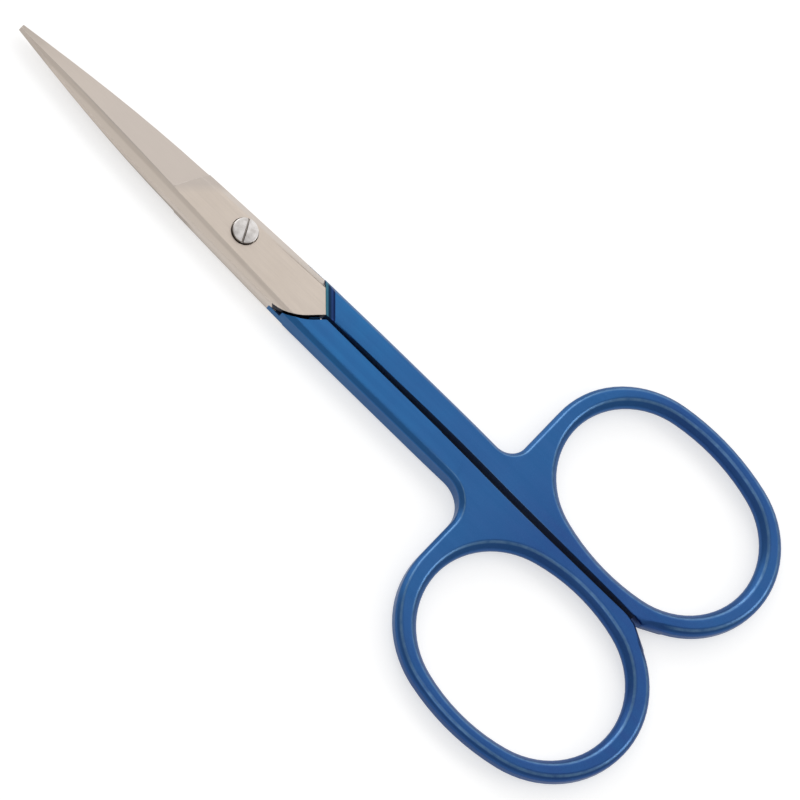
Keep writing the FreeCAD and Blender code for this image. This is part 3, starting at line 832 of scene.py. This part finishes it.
# %% Zones of the handles, and colours along them and beside the V
COAT_ZONES = {
    "bows to V": (ALONG_HALF, -47.93, -9.93),
    "bow rims": (ALONG_HALF, -26, -33),
    "on bows": (ALONG_HALF, -35, -42),
    "beside slit": (ACROSS_HALF, 5.5, 2.0),
    "far side": (ACROSS_HALF, 15.5, 19.0),
    "own side": (ACROSS_HALF, 0.0, 0.1),
    "outside": (UP_FROM_SLIDING, 0.98, 1.05),
}
BLUE_FROM_BOWS_TO_V = [
    (0.0, (0.026, 0.094, 0.27), 1),
    (0.68, (0.025, 0.128, 0.33), 1),
    (1.0, (0.025, 0.160, 0.385), 1),
]
# Painted reflection bands for the hollow beside the V.
REFLECTION_BANDS_BESIDE_V = [
    (0.0, (0.070, 0.210, 0.270), 1),
    (0.2, (0.045, 0.170, 0.260), 1),
    (0.33, (0.008, 0.030, 0.075), 1),
    (0.5, (0.012, 0.040, 0.110), 1),
    (0.63, (0.030, 0.075, 0.250), 1),
    (0.73, (0.026, 0.065, 0.230), 1),
    (0.83, (0.006, 0.018, 0.085), 1),
    (0.93, (0.010, 0.040, 0.140), 1),
    (1.0, (0.025, 0.130, 0.330), 0),
]
BANDS_WIDTH = 0.92 * MM
print(len(COAT_ZONES), "zones on a handle,", len(REFLECTION_BANDS_BESIDE_V), "stops in the bands")

# %% The coat's masks
blue_coat, tree, shader = new_finish("blue_coat")
lines = use_group(tree, lines_group, "Lines per mm", 3.0)
broad = use_group(tree, lines_group, "Lines per mm", 0.7)
cloud = use_group(tree, cloud_group, "Clouds per mm", 0.22)
speck = use_group(tree, cloud_group, "Clouds per mm", 14.0)
seam = use_group(tree, seam_group, "Amount", 1.0)
zone = zones_on(tree, COAT_ZONES)
# Painted highlight on the bows' rims, in rubbed patches.
rims = combine(tree, "MULTIPLY", use_group(tree, rim_group, "Amount", 0.95), zone["bow rims"])
# Painted shade along the bows' long sides.
long_sides = combine(tree, "MAXIMUM", zone["beside slit"], zone["far side"])
long_sides = combine(tree, "MULTIPLY", long_sides, zone["on bows"])
square_to_v = (V_LINE.y, -V_LINE.x, 0)
v_place = V_LINE.y * V_POINT[0] - V_LINE.x * V_POINT[1]
beside_v = on_half(tree, square_to_v, v_place, v_place + BANDS_WIDTH)
# Painted reflection: bands that stand for the light and dark that the hollow mirrors.
bands, in_bands = ramp(tree, beside_v, REFLECTION_BANDS_BESIDE_V)
in_hollow = combine(tree, "MULTIPLY", zone["own side"], zone["outside"])
in_hollow = combine(tree, "MULTIPLY", in_bands, in_hollow)
print("the bands are", round(BANDS_WIDTH / MM, 2), "mm wide")

# %% The handles' finish
SHADED_BLUE = (0.020, 0.064, 0.222)
VIOLET_BLUE = (0.036, 0.100, 0.290)
UNEVEN_BLUE = (0.018, 0.095, 0.270)
SPECK_BLUE = (0.050, 0.180, 0.420)
LINE_BLUE = (0.020, 0.095, 0.270)
RUBBED_AND_HIGHLIT_BLUE = (0.15, 0.29, 0.48)
# Painted shade for the seam and the slit.
SEAM_SHADE_BLUE = (0.003, 0.014, 0.055)
lengthwise = ramp(tree, zone["bows to V"], BLUE_FROM_BOWS_TO_V)[0]
coat_colour = layered(tree, lengthwise, [
    (spread(tree, long_sides, 0.0, 0.9), SHADED_BLUE),
    (spread(tree, cloud, 0.0, 0.5, start=0.35, end=0.75), VIOLET_BLUE),
    (spread(tree, broad, 0.0, 0.5, start=0.4, end=0.7), UNEVEN_BLUE),
    (spread(tree, speck, 0.0, 0.3, start=0.45, end=0.8), SPECK_BLUE),
    (spread(tree, lines, 0.0, 0.3, start=0.45, end=0.8), LINE_BLUE),
    (rims, RUBBED_AND_HIGHLIT_BLUE),
    (in_hollow, bands),
    (seam, SEAM_SHADE_BLUE),
])
link(tree, coat_colour, shader.inputs["Base Color"])
link(tree, spread(tree, seam, 0.9, 0.0), shader.inputs["Metallic"])
coat_rough = combine(tree, "ADD", spread(tree, lines, 0.26, 0.36), spread(tree, cloud, -0.03, 0.05))
dull = combine(tree, "ADD", coat_rough, spread(tree, seam, 0.0, 0.6))
link(tree, dull, shader.inputs["Roughness"])
grain = combine(tree, "ADD", spread(tree, speck, 0.0, 0.6), lines)
link(tree, bump(tree, grain, BUMP_DEPTH, strength=0.35), shader.inputs["Normal"])
print(blue_coat.name, len(tree.nodes), "nodes")

# %% [markdown]
# ## The screw's steel
# The screw is a cooler, brighter steel than the blades. Turning leaves faint
# rings round its axis, and the colour darkens with depth below the head's rim,
# in the slot and beside the head.

# %% The screw's finish
MOTTLED_SCREW = ((0.50, 0.47, 0.45), (0.71, 0.685, 0.67))
DARKER_LOW_SCREW = (0.16, 0.13, 0.11)
RUBBED_AND_HIGHLIT_SCREW = (0.80, 0.78, 0.76)
DARKEST_BELOW = 2.62 * MM
PLAIN_ABOVE = 2.84 * MM
screw_steel, tree, shader = new_finish("screw_steel")
place = tree.nodes.new("ShaderNodeTexCoord")
from_axis = tree.nodes.new("ShaderNodeVectorMath")
from_axis.operation = "SUBTRACT"
from_axis.inputs[1].default_value = (PIVOT.x, PIVOT.y, 0)
link(tree, place.outputs["Object"], from_axis.inputs[0])
rings = tree.nodes.new("ShaderNodeTexWave")
rings.wave_type = "RINGS"
rings.rings_direction = "Z"
rings.inputs["Scale"].default_value = 2.2 / MM
rings.inputs["Distortion"].default_value = 1.5
rings.inputs["Detail"].default_value = 2.0
link(tree, from_axis.outputs[0], rings.inputs["Vector"])
cloud = use_group(tree, cloud_group, "Clouds per mm", 1.6)
# Painted highlight on the head's rim, in rubbed patches.
rims = use_group(tree, rim_group, "Amount", 1.0)
parts = tree.nodes.new("ShaderNodeSeparateXYZ")
link(tree, from_axis.outputs[0], parts.inputs[0])
# Darker with depth below the head's rim.
depth = spread(tree, parts.outputs["Z"], 1.0, 0.0, start=DARKEST_BELOW, end=PLAIN_ABOVE)
mottled = tinted(tree, spread(tree, cloud, 0.0, 1.0, start=0.35, end=0.65), *MOTTLED_SCREW)
screw_colour = layered(tree, mottled, [(depth, DARKER_LOW_SCREW), (rims, RUBBED_AND_HIGHLIT_SCREW)])
link(tree, screw_colour, shader.inputs["Base Color"])
shader.inputs["Metallic"].default_value = 1.0
link(tree, spread(tree, cloud, 0.24, 0.42), shader.inputs["Roughness"])
link(tree, bump(tree, rings.outputs["Fac"], BUMP_DEPTH, strength=0.3), shader.inputs["Normal"])
print(screw_steel.name, len(tree.nodes), "nodes")

# %% Make the screw's mesh
screw = add_to_scene("screw", bpy.data.meshes.new("screw"))
lathe = screw.modifiers.new("lathe", "NODES")
lathe.node_group = screw_tree
for name, value in SCREW_SIZES.items():
    lathe[screw_inputs[name]] = value
lathe[screw_inputs["Finish"]] = screw_steel
settle(screw)
shape = bmesh.new()
shape.from_mesh(screw.data)
bmesh.ops.remove_doubles(shape, verts=shape.verts, dist=WELD)
bmesh.ops.recalc_face_normals(shape, faces=shape.faces)
open_edges = sum(not edge.is_manifold for edge in shape.edges)
print("screw volume in cubic mm:", round(shape.calc_volume() / MM ** 3, 3), "open edges:", open_edges)
shape.to_mesh(screw.data)
shape.free()

# %% Round the rim of its head
RIM_RADIUS = 1.28 * MM
RIM_BOTTOM = 2.5 * MM
RIM_ANGLE = math.radians(40)
RIM_ROUND = 0.03 * MM
SCREW_STEPS = 2
SCREW_SHARP = 35


def head_rim(edge):
    """A narrow round for the rim of the head and none for the rest."""
    for vert in edge.verts:
        if (vert.co - PIVOT).xy.length <= RIM_RADIUS or vert.co.z <= RIM_BOTTOM:
            return 0.0
    return RIM_ROUND if edge.calc_face_angle(0) > RIM_ANGLE else 0.0


soften(screw, SCREW_STEPS, head_rim)
smooth(screw, SCREW_SHARP)

# %% [markdown]
# ## Dress the pieces and let them ride
# Each piece gets its finish, rides on the body that it moves with, and stands
# for the solid that it was made from. The solids stay in the model for
# collisions, hidden behind the pieces that replace them.


# %% Finishes and bodies
def dress(piece, finish):
    piece.data.materials.clear()
    piece.data.materials.append(finish)
    piece.data.calc_loop_triangles()
    print(piece.name, len(piece.data.loop_triangles), "triangles")


for body in SIDES:
    dress(blades[body], ground_steel)
    dress(handles[body], blue_coat)
    for piece, slot in ((blades[body], "ground_steel"), (handles[body], "blue_coating")):
        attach(piece, body)
        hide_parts(body + "_half")
dress(screw, screw_steel)
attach(screw, "rear")
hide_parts("pivot_screw")

# %% [markdown]
# ## The camera
# The photograph looks down on the scissors from far away, from their left
# side, with the tip in the upper left. A camera at 1.2 metres with a long lens
# gives that nearly parallel view. Its axes are worked out from two angles: how
# far the view leans to the side, and how far the tool is turned in the frame.

# %% Camera axes
LEAN = math.radians(27.0)
TURN = math.radians(44.25)
across = Vector((math.cos(LEAN), 0, math.sin(LEAN)))
along = Vector((0, 1, 0))
right = across * math.sin(TURN) - along * math.cos(TURN)
up = across * math.cos(TURN) + along * math.sin(TURN)
back = right.cross(up)
print("the camera looks from", [round(x, 3) for x in back])

# %% Camera place and lens
FRAME = 800
PIVOT_IN_FRAME = (244.9, 231.3)
PIXEL = 0.0958977 * MM
TANG_TOP = 2.55 * MM
DISTANCE = 1.2
SENSOR_WIDTH = 36
FAR_AWAY = 50
to_middle = [(FRAME / 2 - place) * PIXEL for place in PIVOT_IN_FRAME]
aim = Vector((PIVOT.x, PIVOT.y, TANG_TOP)) + right * to_middle[0] - up * to_middle[1]
lens = bpy.data.cameras.new("camera")
lens.sensor_width = SENSOR_WIDTH
lens.lens = SENSOR_WIDTH * DISTANCE / (FRAME * PIXEL)
lens.clip_end = FAR_AWAY
camera = add_to_scene("camera", lens)
axes = Matrix((right, up, back)).transposed().to_4x4()
camera.matrix_world = Matrix.Translation(aim + back * DISTANCE) @ axes
bpy.context.scene.camera = camera
print("camera at", [round(x, 3) for x in camera.location], "lens", round(lens.lens, 1), "mm")

# %% [markdown]
# ## The floor
# The photograph stands on pure white. The floor is pale paper that receives
# the shadow. The camera sees it lifted to white by some emission, and polished
# faces mirror a little less of that. Diffuse rays see none of it, so the glow
# throws no extra light on the scissors.

# %% Paper
REACH = 8.0
PAPER_GREY = (0.6, 0.6, 0.6, 1)
WHITE = (1, 1, 1, 1)
GLOW_SEEN = 0.57
GLOW_MIRRORED = 0.4
paper_corners = [(-REACH, -REACH, 0), (REACH, -REACH, 0), (REACH, REACH, 0), (-REACH, REACH, 0)]
mesh = bpy.data.meshes.new("floor")
mesh.from_pydata(paper_corners, [], [(0, 1, 2, 3)])
floor = add_to_scene("floor", mesh)
paper, tree, shader = new_finish("paper")
shader.inputs["Base Color"].default_value = PAPER_GREY
shader.inputs["Roughness"].default_value = 1.0
shader.inputs["Specular IOR Level"].default_value = 0.0
shader.inputs["Emission Color"].default_value = WHITE
rays = tree.nodes.new("ShaderNodeLightPath").outputs
direct = combine(tree, "MAXIMUM", rays["Is Camera Ray"], rays["Is Transmission Ray"])
mirrored = spread(tree, rays["Is Glossy Ray"], 0.0, GLOW_MIRRORED)
seen = combine(tree, "MAXIMUM", spread(tree, direct, 0.0, GLOW_SEEN), mirrored)
link(tree, seen, shader.inputs["Emission Strength"])
mesh.materials.append(paper)
print("floor", 2 * REACH, "m wide")

# %% [markdown]
# ## The light
# Polished rims and satin flats tell their shape by what they mirror, so the
# light is a few soft boxes in an even, dim room. The large one on the right is
# what the flats mirror, and the low one beyond the tip lights the walls. Three
# small ones, overhead and over both ends, draw lines of light on the rounds,
# and a weak one on the left keeps the near bevels from going black. A lamp's
# power is written as the brightness that a mirror would show, times area and pi.

# %% Room
ROOM = 0.5
ROOM_SEEN = 1.0
world = bpy.data.worlds.new("studio")
bpy.context.scene.world = world
world.use_nodes = True
tree = world.node_tree
background = tree.nodes["Background"]
rays = tree.nodes.new("ShaderNodeLightPath").outputs
link(tree, spread(tree, rays["Is Camera Ray"], ROOM, ROOM_SEEN), background.inputs["Strength"])
background.inputs["Color"].default_value = WHITE
bpy.context.scene.view_settings.view_transform = "Standard"
print("room at", ROOM)


# %% Soft boxes, with places and widths in metres
def soft_box(name, place, width, brightness):
    lamp = bpy.data.lights.new(name, "AREA")
    lamp.shape = "SQUARE"
    lamp.size = width
    lamp.energy = brightness * math.pi * width ** 2
    box = add_to_scene(name, lamp)
    box.location = place
    box.rotation_euler = Vector(place).to_track_quat("Z", "Y").to_euler()
    print(name, round(lamp.energy, 2), "W")


soft_box("right_side", (0.92, 0.15, 0.77), width=1.5, brightness=0.7)
soft_box("overhead", (-0.08, 0.0, 1.2), width=0.5, brightness=0.9)
soft_box("beyond_tip", (0.45, 1.3, 0.3), width=1.1, brightness=0.9)
soft_box("over_bows", (0.5, -0.75, 0.6), width=0.4, brightness=2.6)
soft_box("over_tip", (0.5, 0.75, 0.6), width=0.4, brightness=2.0)
soft_box("left_side", (-0.8, 0.1, 0.9), width=0.4, brightness=1.2)
